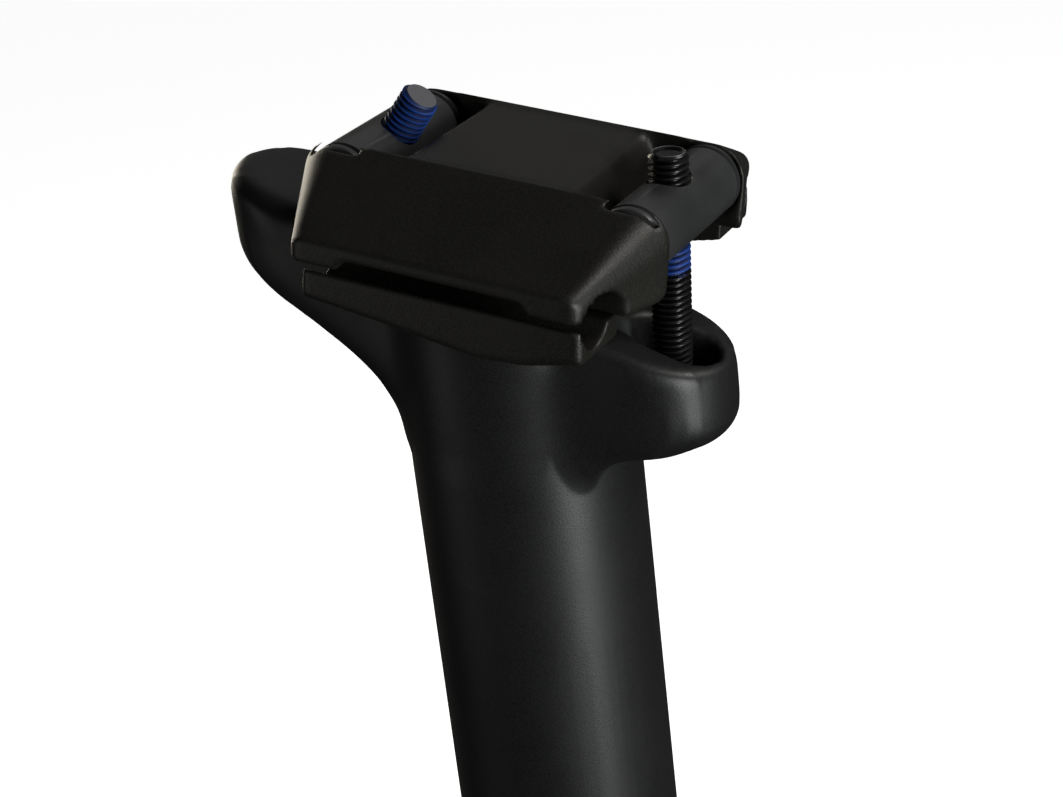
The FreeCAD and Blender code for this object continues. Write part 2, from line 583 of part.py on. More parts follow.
build_lower_tube()
build_collar()
build_slider_fittings()
build_spring()
build_spacer()
build_head()
build_lower_clamp()
build_upper_clamp()
build_bolt_set("front", "front_bolt_lean")
build_bolt_set("rear", "rear_bolt_lean")
doc.recompute()

for item in doc.Objects:
    if "Invalid" in item.State or "Error" in item.State:
        raise RuntimeError(f"{item.Name} failed: {item.State}")
faulty = [item.Label for item in NODES
          if item.Shape.isNull() or not item.Shape.isValid() or len(item.Shape.Solids) != 1]
if faulty:
    raise RuntimeError(f"not one valid solid each: {faulty}")

os.makedirs("parts", exist_ok=True)
for item in NODES:
    item.Shape.exportStep(f"parts/{item.Label}.step")
    print(f"{item.Label}: {item.Shape.Volume / 1000:.2f} cm3")
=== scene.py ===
"""Looks of a bicycle suspension seatpost: forged head, two-piece rail clamp, bolts and lower parts.

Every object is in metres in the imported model's own frame: +X forward, +Y left, +Z up the post.
"""

import logging
import math
from dataclasses import dataclass
from enum import Enum
from typing import Callable

import bmesh
import bpy
from mathutils import Matrix, Vector


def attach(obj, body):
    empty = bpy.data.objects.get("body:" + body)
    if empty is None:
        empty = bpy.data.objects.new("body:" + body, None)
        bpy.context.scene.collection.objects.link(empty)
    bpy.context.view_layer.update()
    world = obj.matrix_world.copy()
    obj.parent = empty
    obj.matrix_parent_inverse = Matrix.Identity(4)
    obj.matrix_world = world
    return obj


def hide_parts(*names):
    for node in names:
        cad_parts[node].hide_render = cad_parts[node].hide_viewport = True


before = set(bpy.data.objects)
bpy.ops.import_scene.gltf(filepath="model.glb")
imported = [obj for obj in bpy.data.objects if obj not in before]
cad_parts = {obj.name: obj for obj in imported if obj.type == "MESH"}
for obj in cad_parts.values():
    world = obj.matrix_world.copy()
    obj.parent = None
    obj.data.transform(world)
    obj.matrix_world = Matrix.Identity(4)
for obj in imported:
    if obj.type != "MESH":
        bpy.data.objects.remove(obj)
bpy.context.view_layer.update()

LOG = logging.getLogger("seatpost")
MM = 0.001
RAIL_HEIGHT = 0.250
CLAMP_FORWARD = 0.0034
CLAMP_LEAN = math.radians(9.0)
TUBE_RADIUS = 0.015
WELD = 2e-6
BEVEL_ANGLE = math.radians(40)


# --- shader maths ------------------------------------------------------------------------


class Signal:
    """A node socket that takes part in Python arithmetic by adding Math nodes."""

    def __init__(self, graph: "Graph", socket: bpy.types.NodeSocket) -> None:
        """Wrap a socket.

        Args:
            graph: The graph that the socket's node is in.
            socket: The output socket.
        """
        self.graph = graph
        self.socket = socket

    def _math(self, operation: str, *values: "Signal | float") -> "Signal":
        """Add one Math node.

        Args:
            operation: The node's operation.
            values: Its inputs in order, as signals or numbers.

        Returns:
            The node's result.
        """
        return self.graph.node("ShaderNodeMath", {"operation": operation}, dict(enumerate(values)))[0]

    def __add__(self, other: "Signal | float") -> "Signal":
        """Sum of two values."""
        return self._math("ADD", self, other)

    def __radd__(self, other: float) -> "Signal":
        """Sum with a number on the left."""
        return self._math("ADD", other, self)

    def __sub__(self, other: "Signal | float") -> "Signal":
        """Difference of two values."""
        return self._math("SUBTRACT", self, other)

    def __rsub__(self, other: float) -> "Signal":
        """Difference from a number on the left."""
        return self._math("SUBTRACT", other, self)

    def __mul__(self, other: "Signal | float") -> "Signal":
        """Product of two values."""
        return self._math("MULTIPLY", self, other)

    def __rmul__(self, other: float) -> "Signal":
        """Product with a number on the left."""
        return self._math("MULTIPLY", other, self)

    def above(self, limit: float, blur: float) -> "Signal":
        """A soft step.

        Args:
            limit: Where the step is half way.
            blur: How wide the step is.

        Returns:
            0 below the step and 1 above it.
        """
        low, high = limit - blur / 2, limit + blur / 2
        return self.graph.node("ShaderNodeMapRange", {"interpolation_type": "SMOOTHSTEP"},
                               {"Value": self, "From Min": low, "From Max": high})[0]


class Graph:
    """A material's node graph, built by one generic method."""

    def __init__(self, name: str) -> None:
        """Start an empty graph.

        Args:
            name: The material's name.
        """
        self.material = bpy.data.materials.new(name)
        self.material.use_nodes = True
        self.tree = self.material.node_tree
        self.tree.nodes.clear()
        self.place = self.node("ShaderNodeTexCoord", {}, {}, "Object")[0]

    def node(self, kind: str, settings: dict, inputs: dict, *outputs: str) -> list[Signal]:
        """Add a node.

        Args:
            kind: The node's type.
            settings: Attributes that are set before the sockets.
            inputs: Socket names or numbers with their values or signals.
            outputs: Names of the outputs wanted; all of them in order when none is named.

        Returns:
            The chosen outputs as signals.
        """
        made = self.tree.nodes.new(kind)
        for name, value in settings.items():
            setattr(made, name, value)
        for name, value in inputs.items():
            if isinstance(value, Signal):
                self.tree.links.new(value.socket, made.inputs[name])
            else:
                made.inputs[name].default_value = value
        names = outputs or range(len(made.outputs))
        return [Signal(self, made.outputs[name]) for name in names]

    def noise(self, scale: float, detail: float = 3.0, stretch: tuple = (1, 1, 1)) -> Signal:
        """A noise pattern on the object's own coordinates.

        Args:
            scale: Features per metre.
            detail: Octaves of finer noise.
            stretch: Scale of each axis before the noise.

        Returns:
            The noise value, about 0.5 on average.
        """
        place = self.place
        if stretch != (1, 1, 1):
            place = self.node("ShaderNodeMapping", {}, {"Vector": place, "Scale": stretch})[0]
        inputs = {"Vector": place, "Scale": scale, "Detail": detail}
        return self.node("ShaderNodeTexNoise", {}, inputs, "Fac")[0]

    def from_point(self, start: Vector) -> Signal:
        """The way from a fixed point to the surface."""
        return self.node("ShaderNodeVectorMath", {"operation": "SUBTRACT"}, {0: self.place, 1: start})[0]

    def dot(self, first: Signal, second: "Signal | Vector") -> Signal:
        """Dot product of two vectors."""
        return self.node("ShaderNodeVectorMath", {"operation": "DOT_PRODUCT"}, {0: first, 1: second}, "Value")[0]

    def axes(self) -> list[Signal]:
        """The object's own X, Y and Z."""
        return self.node("ShaderNodeSeparateXYZ", {}, {"Vector": self.place})

    def along(self, start: Vector, direction: Vector) -> Signal:
        """Distance along a line.

        Args:
            start: Where the distance is nought.
            direction: The line's unit direction.

        Returns:
            The signed distance in metres.
        """
        return self.dot(self.from_point(start), direction)

    def off_axis(self, start: Vector, direction: Vector) -> Signal:
        """Squared distance from a line.

        Args:
            start: A point on the line.
            direction: The line's unit direction.

        Returns:
            The squared distance in square metres.
        """
        moved = self.from_point(start)
        reach = self.along(start, direction)
        return self.dot(moved, moved) - reach * reach

    def blend(self, factor: Signal, first: "tuple | Signal", second: "tuple | Signal") -> Signal:
        """Mix two colours.

        Args:
            factor: 0 for the first colour, 1 for the second.
            first: A colour as RGB or a signal.
            second: A colour as RGB or a signal.

        Returns:
            The mixed colour.
        """
        first, second = [(*c, 1.0) if isinstance(c, tuple) else c for c in (first, second)]
        return self.node("ShaderNodeMix", {"data_type": "RGBA"}, {0: factor, 6: first, 7: second})[2]

    def bump(self, height: Signal, depth: float) -> Signal:
        """A bump.

        Args:
            height: The height pattern, from 0 to 1.
            depth: How many metres a height of 1 stands for.

        Returns:
            The bumped normal.
        """
        return self.node("ShaderNodeBump", {}, {"Height": height, "Distance": depth, "Strength": 1.0})[0]

    def edges(self, low: float, high: float) -> Signal:
        """A mask of outward edges.

        Args:
            low: Pointiness at which the mask is 0.
            high: Pointiness at which it is 1.

        Returns:
            0 on faces and 1 on edges.
        """
        point = self.node("ShaderNodeNewGeometry", {}, {}, "Pointiness")[0]
        return self.node("ShaderNodeMapRange", {"interpolation_type": "SMOOTHSTEP"},
                         {"Value": point, "From Min": low, "From Max": high})[0]

    def finish(self, colour: "Signal | tuple", roughness: "Signal | float",
               normal: "Signal | None" = None, metallic: "Signal | float" = 0.0,
               specular: float = 0.5) -> bpy.types.Material:
        """End the graph in a Principled shader.

        Args:
            colour: Base colour.
            roughness: Roughness.
            normal: Bumped normal.
            metallic: Metallic share.
            specular: Specular level, the same all over.

        Returns:
            The material.
        """
        inputs = {"Base Color": (*colour, 1.0) if isinstance(colour, tuple) else colour,
                  "Roughness": roughness, "Metallic": metallic, "Specular IOR Level": specular}
        if normal is not None:
            inputs["Normal"] = normal
        shader = self.node("ShaderNodeBsdfPrincipled", {}, inputs)[0]
        self.node("ShaderNodeOutputMaterial", {}, {"Surface": shader})
        return self.material


# --- finishes ----------------------------------------------------------------------------


@dataclass(frozen=True)
class BlastedAnodising:
    """Black anodising over a bead-blasted surface."""

    name: str
    colour: tuple[float, float, float]
    edge_colour: tuple[float, float, float]
    roughness: float = 0.5
    spread: float = 0.12
    grain: float = 4600.0
    grain_depth: float = 0.000014
    # When set, the front slot's inner end gets lighter bare metal with a painted highlight.
    machined: bool = False
    edge: tuple[float, float] = (0.53, 0.58)
    darkest: float = 0.5
    lightest: float = 1.6
    slot_reach: tuple[float, float] = (0.0152, 0.0188)
    slot_half: float = 0.0037
    slot_low: float = 0.2285
    # Lightened bare-metal colour of the slot's end: partly real cut metal, partly painted highlight.
    bare_metal_highlight: tuple[float, float, float] = (0.05, 0.052, 0.052)

    def slot_end_highlight(self, graph: Graph) -> Signal:
        """A mask of the front slot's inner end, where the cutter left brighter metal and a painted highlight is
        laid on it.

        Args:
            graph: The material's graph.

        Returns:
            0 on the forged skin and up to 1 on the cut face.
        """
        x, y, z = graph.axes()
        inside = x.above(self.slot_reach[0], 0.0006) * (1.0 - x.above(self.slot_reach[1], 0.0014))
        narrow = y.above(-self.slot_half, 0.0002) * (1.0 - y.above(self.slot_half, 0.0002))
        streaks = graph.noise(1500.0, 2.0, (1.0, 1.0, 0.2))
        return inside * narrow * z.above(self.slot_low, 0.001) * (0.6 + 0.4 * streaks)

    def make(self) -> bpy.types.Material:
        """Build the material."""
        graph = Graph(self.name)
        grain = graph.noise(self.grain, 2.0)
        cloud = graph.noise(90.0, 4.0)
        edge = graph.edges(*self.edge) * (0.35 + 0.65 * graph.noise(700.0, 3.0))
        dark = tuple(c * self.darkest for c in self.colour)
        light = tuple(c * self.lightest for c in self.colour)
        speckled = graph.blend(grain.above(0.5, 0.4), dark, light)
        clouded = graph.blend(cloud.above(0.5, 0.5) * 0.4, speckled, light)
        colour = graph.blend(edge, clouded, self.edge_colour)
        if self.machined:
            # Painted highlight: the slot's inner end is lightened to bare metal.
            colour = graph.blend(self.slot_end_highlight(graph), colour, self.bare_metal_highlight)
        patches = self.spread * (cloud - 0.5) + 0.25 * self.spread * (grain - 0.5)
        roughness = self.roughness + patches - 0.08 * edge
        return graph.finish(colour, roughness, graph.bump(grain, self.grain_depth))


@dataclass(frozen=True)
class MachinedMetal:
    """Metal with fine turning or drawing marks and a little wear."""

    name: str
    colour: tuple[float, float, float]
    worn: tuple[float, float, float]
    roughness: float = 0.35
    metallic: float = 0.9
    marks: tuple[float, float, float] = (1.0, 1.0, 12.0)
    mark_depth: float = 0.000004
    edge: tuple[float, float] = (0.52, 0.60)

    def make(self) -> bpy.types.Material:
        """Build the material."""
        graph = Graph(self.name)
        marks = graph.noise(900.0, 2.0, self.marks)
        cloud = graph.noise(160.0, 4.0)
        edge = graph.edges(*self.edge)
        pale = tuple(c * 1.2 for c in self.colour)
        clouded = graph.blend(cloud.above(0.52, 0.5), self.colour, pale)
        colour = graph.blend(edge * 0.8, clouded, self.worn)
        roughness = self.roughness + 0.16 * (cloud - 0.5) + 0.1 * (marks - 0.5)
        return graph.finish(colour, roughness, graph.bump(marks, self.mark_depth), metallic=self.metallic)


@dataclass(frozen=True)
class Elastomer:
    """Moulded rubber, polymer or elastomer with a fine skin."""

    name: str
    colour: tuple[float, float, float]
    roughness: float = 0.6
    specular: float = 0.4
    skin_depth: float = 0.00001

    def make(self) -> bpy.types.Material:
        """Build the material."""
        graph = Graph(self.name)
        skin = graph.noise(1800.0, 3.0)
        cloud = graph.noise(120.0, 4.0)
        dark = tuple(c * 0.8 for c in self.colour)
        colour = graph.blend(cloud.above(0.5, 0.6), dark, self.colour)
        roughness = self.roughness + 0.2 * (cloud - 0.5)
        return graph.finish(colour, roughness, graph.bump(skin, self.skin_depth), specular=self.specular)


@dataclass(frozen=True)
class LockedThread:
    """A blackened bolt with dried blue thread-lock between two distances along it, painted darker in the
    thread's grooves as painted shade.
    """

    name: str
    start: Vector
    direction: Vector
    patch: tuple[float, float]
    tip: float
    dye: tuple[float, float, float] = (0.0, 0.055, 0.36)
    # Share of the dye's colour left in the thread's grooves: painted shade.
    groove_shade_share: float = 0.25
    oxide: tuple[float, float, float] = (0.007, 0.007, 0.008)
    rubbed: tuple[float, float, float] = (0.07, 0.07, 0.075)
    end_face: tuple[float, float, float] = (0.11, 0.11, 0.12)
    crest_square: float = 5.5e-6
    crest_blur: float = 1.3e-6
    ragged: float = 0.0012
    patch_blur: float = 0.0003
    skin_depth: float = 0.00001

    def make(self) -> bpy.types.Material:
        """Build the material."""
        graph = Graph(self.name)
        reach = graph.along(self.start, self.direction)
        ragged = reach + self.ragged * (graph.noise(900.0, 3.0) - 0.5)
        low, high = (ragged.above(limit, self.patch_blur) for limit in self.patch)
        patch = low * (1.0 - high)
        face = reach.above(self.tip, 0.00004)
        cloud = graph.noise(700.0, 4.0)
        black = graph.blend(graph.edges(0.52, 0.60) * 0.45, self.oxide, self.rubbed)
        # The grooves get a darker share of the dye than the crests: painted shade in the grooves.
        crest = graph.off_axis(self.start, self.direction).above(self.crest_square, self.crest_blur)
        groove = tuple(c * self.groove_shade_share for c in self.dye)
        blue = graph.blend(crest * (0.6 + 0.4 * cloud.above(0.5, 0.4)), groove, self.dye)
        colour = graph.blend(face, graph.blend(patch * (0.75 + 0.25 * cloud), black, blue), self.end_face)
        roughness = 0.33 + 0.2 * (cloud - 0.5) + 0.22 * patch + 0.16 * face
        metallic = 0.55 * (1.0 - patch) * (1.0 - face)
        return graph.finish(colour, roughness, graph.bump(cloud, self.skin_depth), metallic=metallic)


@dataclass(frozen=True)
class MarkedTube:
    """Anodised lower tube with plain insertion marks round it."""

    name: str
    colour: tuple[float, float, float]
    line_height: float
    band: float = 0.0005
    lines: int = 5
    line_step: float = 0.004
    line_blur: float = 0.0001
    paint: tuple[float, float, float] = (0.55, 0.55, 0.55)
    bright: tuple[float, float, float] = (0.08, 0.08, 0.085)
    grain_depth: float = 0.000006

    def make(self) -> bpy.types.Material:
        """Build the material."""
        graph = Graph(self.name)
        height = graph.axes()[2]
        lines = None
        for step in range(self.lines):
            level = self.line_height - step * self.line_step
            half = self.band * (1.0 if step == 0 else 0.5)
            above_line = height.above(level + half, self.line_blur)
            line = height.above(level - half, self.line_blur) * (1.0 - above_line)
            lines = line if lines is None else lines + line
        grain = graph.noise(2600.0, 2.0)
        scratch = graph.noise(260.0, 3.0, (1.0, 1.0, 0.06)).above(0.66, 0.08)
        colour = graph.blend(lines, graph.blend(scratch * 0.25, self.colour, self.bright), self.paint)
        roughness = 0.42 + 0.12 * (graph.noise(90.0, 4.0) - 0.5) + 0.06 * scratch
        return graph.finish(colour, roughness, graph.bump(grain, self.grain_depth))


class Finish(Enum):
    """The finishes that pieces share, with the record's slot that each belongs to."""

    # The head's finish paints a highlight on the front slot's inner end.
    HEAD = ("head_anodised", BlastedAnodising(
        "head_black", (0.0075, 0.0075, 0.0080), (0.022, 0.022, 0.023), 0.46, machined=True))
    CLAMP = ("clamp_anodised", BlastedAnodising(
        "clamp_black", (0.0070, 0.0065, 0.0048), (0.030, 0.029, 0.026), 0.47, grain=3600.0,
        grain_depth=0.000034, edge=(0.52, 0.60)))
    BARREL = ("barrel_steel", MachinedMetal(
        "barrel_satin", (0.060, 0.061, 0.063), (0.16, 0.16, 0.165), 0.36, 0.6, (12.0, 1.0, 12.0)))
    COLLAR = ("post_anodised", BlastedAnodising(
        "collar_black", (0.012, 0.012, 0.013), (0.05, 0.05, 0.05), 0.4))
    TUBE = ("post_anodised", MarkedTube("lower_tube_black", (0.011, 0.011, 0.012), 0.0))
    SEAL = ("seal_rubber", Elastomer("seal_black", (0.012, 0.012, 0.012), 0.62))
    BUSH = ("bush_polymer", Elastomer("bush_grey", (0.10, 0.11, 0.12), 0.45))
    BUMPER = ("bumper_elastomer", Elastomer("bumper_amber", (0.42, 0.24, 0.05), 0.5))
    KEY = ("key_brass", MachinedMetal(
        "key_brass", (0.62, 0.42, 0.16), (0.80, 0.60, 0.30), 0.3, 1.0))
    PLUG = ("plug_alloy", MachinedMetal(
        "plug_alloy", (0.42, 0.43, 0.45), (0.7, 0.7, 0.72), 0.36, 1.0))
    WASHER = ("washer_steel", MachinedMetal(
        "washer_steel", (0.30, 0.30, 0.31), (0.6, 0.6, 0.6), 0.32, 1.0))
    SPRING = ("spring_steel", MachinedMetal(
        "spring_steel", (0.16, 0.16, 0.17), (0.4, 0.4, 0.4), 0.36, 0.9))

    @property
    def slot(self) -> str:
        """The record's material slot."""
        return self.value[0]

    def material(self) -> bpy.types.Material:
        """The finish's one material, built the first time it is asked for."""
        recipe = self.value[1]
        found = bpy.data.materials.get(recipe.name)
        return found if found is not None else recipe.make()


# --- mesh helpers ------------------------------------------------------------------------


def clamp_matrix() -> Matrix:
    """The matrix from the rail clamp's own frame to the row frame."""
    return Matrix.Translation((CLAMP_FORWARD, 0, RAIL_HEIGHT)) @ Matrix.Rotation(CLAMP_LEAN, 4, "Y")


def linked(name: str, data: bpy.types.ID) -> bpy.types.Object:
    """A new object in the scene.

    Args:
        name: The object's name.
        data: Its mesh, camera or light.

    Returns:
        The object.
    """
    made = bpy.data.objects.new(name, data)
    bpy.context.scene.collection.objects.link(made)
    return made


def to_mesh(bm: bmesh.types.BMesh, name: str) -> bpy.types.Mesh:
    """Turn a bmesh into a mesh and free it.

    Args:
        bm: The bmesh.
        name: The mesh's name.

    Returns:
        The mesh.
    """
    mesh = bpy.data.meshes.new(name)
    bm.to_mesh(mesh)
    bm.free()
    return mesh


def add_mesh(bm: bmesh.types.BMesh, other: bmesh.types.BMesh) -> None:
    """Put one mesh's faces into another.

    Args:
        bm: The mesh that gets them.
        other: The mesh that is added, which is freed.
    """
    mesh = to_mesh(other, "part")
    bm.from_mesh(mesh)
    bpy.data.meshes.remove(mesh)


def cut_across(bm: bmesh.types.BMesh, height: float, keep_above: bool) -> None:
    """Cut a mesh across Z and drop one side.

    Args:
        bm: The mesh.
        height: Height of the cut, in metres.
        keep_above: Whether the part above the cut stays.
    """
    bmesh.ops.bisect_plane(bm, geom=bm.verts[:] + bm.edges[:] + bm.faces[:], dist=1e-7,
                           plane_co=(0, 0, height), plane_no=(0, 0, 1),
                           clear_inner=keep_above, clear_outer=not keep_above)


def off_axis(vert: bmesh.types.BMVert) -> float:
    """A vertex's distance from the Z axis."""
    return math.hypot(vert.co.x, vert.co.y)


def to_object(bm: bmesh.types.BMesh, name: str, smooth_angle: float = math.radians(35)) -> bpy.types.Object:
    """Turn a bmesh into a linked object at the origin.

    Args:
        bm: The mesh, which is freed.
        name: The object's name.
        smooth_angle: Edges sharper than this stay sharp.

    Returns:
        The new object.
    """
    for edge in bm.edges:
        edge.smooth = not (edge.is_manifold and edge.calc_face_angle(0.0) > smooth_angle)
    for face in bm.faces:
        face.smooth = True
    return linked(name, to_mesh(bm, name))


def cad_copy(node: str) -> bmesh.types.BMesh:
    """A CAD node's mesh as a bmesh with its loose triangles merged.

    Args:
        node: The node's name.

    Returns:
        The merged mesh.
    """
    bm = bmesh.new()
    bm.from_mesh(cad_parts[node].data)
    bmesh.ops.remove_doubles(bm, verts=bm.verts[:], dist=WELD)
    bmesh.ops.dissolve_degenerate(bm, dist=WELD / 2, edges=bm.edges[:])
    for layer in (bm.loops.layers.uv, bm.verts.layers.deform):
        while len(layer):
            layer.remove(layer[0])
    return bm


def close_holes(bm: bmesh.types.BMesh) -> None:
    """Cap every open rim of a mesh."""
    rims = [edge for edge in bm.edges if edge.is_boundary]
    if rims:
        bmesh.ops.triangle_fill(bm, use_beauty=True, use_dissolve=False, edges=rims)
    bmesh.ops.recalc_face_normals(bm, faces=bm.faces[:])


def discard(work: bpy.types.Object) -> None:
    """Delete a working object and its mesh."""
    mesh = work.data
    bpy.data.objects.remove(work)
    bpy.data.meshes.remove(mesh)


def with_modifiers(bm: bmesh.types.BMesh, modifiers: list[tuple[str, dict]]) -> bmesh.types.BMesh:
    """Run modifiers over a bmesh.

    Args:
        bm: The mesh, which is freed.
        modifiers: Modifier types with their settings, in order.

    Returns:
        The resulting mesh.
    """
    work = linked("work", to_mesh(bm, "work"))
    for kind, settings in modifiers:
        modifier = work.modifiers.new(kind.lower(), kind)
        for name, value in settings.items():
            setattr(modifier, name, value)
    graph = bpy.context.evaluated_depsgraph_get()
    result = bmesh.new()
    result.from_object(work, graph)
    discard(work)
    return result


def remeshed(bm: bmesh.types.BMesh, voxel: float) -> bmesh.types.BMesh:
    """An even quad mesh of the same shape.

    Args:
        bm: A closed mesh, which is freed.
        voxel: Size of a cell.

    Returns:
        The new mesh.
    """
    return with_modifiers(bm, [("REMESH", {"mode": "VOXEL", "voxel_size": voxel, "adaptivity": 0.0})])


def soften(bm: bmesh.types.BMesh, verts: list[bmesh.types.BMVert], rounds: int) -> None:
    """Relax some vertices towards their neighbours.

    Args:
        bm: The mesh.
        verts: The vertices that may move.
        rounds: How many times.
    """
    for _ in range(rounds):
        bmesh.ops.smooth_vert(bm, verts=verts, factor=0.5,
                              use_axis_x=True, use_axis_y=True, use_axis_z=True)


def spun(outline: list[tuple[float, float]], segments: int) -> bmesh.types.BMesh:
    """A turned shape about Z.

    Args:
        outline: Radius and height of each corner, in millimetres; the last joins the first.
        segments: Steps round the turn.

    Returns:
        The turned mesh.
    """
    bm = bmesh.new()
    verts = [bm.verts.new((radius * MM, 0, height * MM)) for radius, height in outline]
    for first, second in zip(verts, verts[1:] + verts[:1]):
        bm.edges.new((first, second))
    bmesh.ops.spin(bm, geom=bm.verts[:] + bm.edges[:], cent=(0, 0, 0), axis=(0, 0, 1), dvec=(0, 0, 0),
                   angle=math.tau, steps=segments, use_merge=True, use_duplicate=False)
    bmesh.ops.remove_doubles(bm, verts=bm.verts[:], dist=WELD / 2)
    bmesh.ops.recalc_face_normals(bm, faces=bm.faces[:])
    return bm


def less(bm: bmesh.types.BMesh, tool: bmesh.types.BMesh) -> bmesh.types.BMesh:
    """One mesh less another.

    Args:
        bm: The mesh to cut, which is freed.
        tool: The cutter, which is freed.

    Returns:
        The cut mesh.
    """
    cutter = linked("tool", to_mesh(tool, "tool"))
    settings = {"operation": "DIFFERENCE", "solver": "EXACT", "object": cutter}
    result = with_modifiers(bm, [("BOOLEAN", settings)])
    discard(cutter)
    return result


def bevel_sharp(bm: bmesh.types.BMesh, width: float) -> None:
    """Bevel the sharp edges of a mesh.

    Args:
        bm: The mesh.
        width: Width of the bevel, in metres.
    """
    bmesh.ops.dissolve_limit(bm, angle_limit=math.radians(1.0), use_dissolve_boundaries=False,
                             verts=bm.verts[:], edges=bm.edges[:], delimit=set())
    sharp = [edge for edge in bm.edges if edge.is_manifold and edge.calc_face_angle(0.0) > BEVEL_ANGLE]
    bmesh.ops.bevel(bm, geom=sharp, offset=width, offset_type="OFFSET", segments=2, profile=0.5,
                    affect="EDGES", clamp_overlap=True, material=-1)
    bmesh.ops.recalc_face_normals(bm, faces=bm.faces[:])


def dress(piece: bpy.types.Object, finish: "Finish | bpy.types.Material", slot: str, body: str,
          *nodes: str) -> bpy.types.Object:
    """Give a piece its material and body, and hide the CAD nodes that it stands for.

    Args:
        piece: The piece.
        finish: A finish or a material of its own.
        slot: The record's material slot; not used.
        body: The CAD body that it rides on.
        nodes: The CAD nodes that it replaces.

    Returns:
        The piece.
    """
    material = finish.material() if isinstance(finish, Finish) else finish
    piece.data.materials.clear()
    piece.data.materials.append(material)
    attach(piece, body)
    if nodes:
        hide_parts(*nodes)
    return piece


# --- head and upper tube -----------------------------------------------------------------


@dataclass
class ForgedHead:
    """The sliding post: its forged head with two slotted ears, and the long upper tube."""

    voxel: float = 0.00045
    cut_height: float = 0.196
    cut_spare: float = 0.003
    cut_fade: float = 0.004
    overlap: float = 0.001
    bore_limit: float = 0.0135
    bore_top: float = 0.219
    ear_half: float = 0.010
    ear_line: float = -0.0059
    ear_slope: float = math.tan(math.radians(20.45))
    ear_root: float = 0.0162
    ear_low: float = 0.032
    round_run: float = 0.009
    front_end: float = 0.0298
    front_round: float = 0.0042
    rear_end: float = -0.0376
    rear_round: float = 0.0025
    rear_top_round: float = 0.0030
    slot_half: float = 0.00375
    face_margin: float = 0.0016
    slot_margin: float = 0.0019
    middle_half: float = 0.0135
    middle_top: float = 0.222
    rounds: tuple[int, ...] = (16, 45, 110)
    steps: tuple[float, ...] = (0.0006, 0.0018, 0.0032)
    skin_rounds: int = 6
    all_rounds: int = 5
    rim_rounds: int = 12
    tube_top: float = 0.2235
    tube_fade: float = 0.004
    tube_slack: float = 0.00018
    tube_reach: float = 0.0012

    def freedom(self, point: Vector) -> float:
        """How far a point of the head is from the machined faces that keep their shape.

        Args:
            point: A point on the head.

        Returns:
            The distance in metres, nought on a machined face.
        """
        below_top = RAIL_HEIGHT + self.ear_line - self.ear_slope * point.x - point.z - self.face_margin
        beside_slot = abs(point.y) - self.slot_half - self.slot_margin
        if abs(point.x) < self.middle_half and point.z < self.middle_top:
            beside_slot = 1.0
        low_edge = point.z - self.cut_height - self.cut_fade
        return min(below_top, beside_slot, low_edge)

    def front_underside(self, x: float) -> float:
        """Height of the front ear's underside over the rails' height."""
        return -0.0280 + 0.0488 * (x - 0.0175)

    def rear_underside(self, x: float) -> float:
        """Height of the rear ear's underside over the rails' height."""
        return -0.0042 - 0.65 * (x - self.rear_end)

    def ear_reach(self, point: Vector) -> float:
        """How far a point is from the line down the middle of its ear."""
        past = max(0.0, point.x - (self.front_end - self.ear_half), (self.rear_end + self.ear_half) - point.x)
        return math.hypot(past, point.y)

    def upper_part(self) -> bmesh.types.BMesh:
        """The head and the top of the tube as one soft, forged shape."""
        bm = cad_copy("upper_post")
        cut_across(bm, self.cut_height - self.cut_spare, True)
        close_holes(bm)
        bm = remeshed(bm, self.voxel)
        cut_across(bm, self.cut_height, True)
        self.round_ear(bm, 1, self.front_underside, self.front_round, 0.0)
        self.round_ear(bm, -1, self.rear_underside, self.rear_round, self.rear_top_round)
        skin = [v for v in bm.verts if v.co.z > RAIL_HEIGHT - 0.034 and abs(v.co.x) > 0.0168
                and self.ear_reach(v.co) > self.ear_half - 0.0045]
        soften(bm, skin, self.skin_rounds)
        free = [(v, self.freedom(v.co)) for v in bm.verts
                if off_axis(v) >= self.bore_limit or v.co.z >= self.bore_top]
        for step, rounds in zip(self.steps, self.rounds):
            soften(bm, [v for v, value in free if value > step], rounds)
        soften(bm, [v for v, _ in free if v.co.z > self.cut_height + self.overlap], self.all_rounds)
        rims = [v for v, _ in free if abs(v.co.y) < 0.0056 and abs(v.co.x) > 0.0145 and v.co.z > 0.226]
        soften(bm, rims, self.rim_rounds)
        self.true_tube(bm)
        return bm

    def round_ear(self, bm: bmesh.types.BMesh, sign: int, underside: Callable[[float], float],
                  radius: float, top_radius: float) -> None:
        """Draw the lower, and if asked the upper, outside edge of an ear in to a full round.

        Args:
            bm: The head.
            sign: 1 for the front ear, -1 for the rear one.
            underside: Height of the ear's underside over the rails' height, at a distance along X.
            radius: Radius of the lower edge.
            top_radius: Radius of the upper edge, or nought to leave it.
        """
        middle = (self.front_end - self.ear_half) if sign > 0 else (self.rear_end + self.ear_half)
        for vert in bm.verts:
            x, y, z = vert.co.x, vert.co.y, vert.co.z - RAIL_HEIGHT
            past = sign * (x - middle)
            if sign * x < self.ear_root or z < -self.ear_low:
                continue
            across = Vector((x - middle, y)) if past > 0 else Vector((0.0, y))
            reach = across.length
            share = min(1.0, (sign * x - self.ear_root) / self.round_run)
            for edge, level, side in ((radius * share, underside(x), -1),
                                      (top_radius * share, self.ear_line - self.ear_slope * x, 1)):
                out, up = reach - (self.ear_half - edge), side * (z - level) + edge
                if edge > WELD / 2 and out > 0 and up > 0 and (gap := math.hypot(out, up)) > edge:
                    reach_new = self.ear_half - edge + out * edge / gap
                    across *= reach_new / reach
                    vert.co.y = across.y
                    if past > 0:
                        vert.co.x = middle + across.x
                    vert.co.z = RAIL_HEIGHT + level + side * (up * edge / gap - edge)
                    reach, z = reach_new, vert.co.z - RAIL_HEIGHT

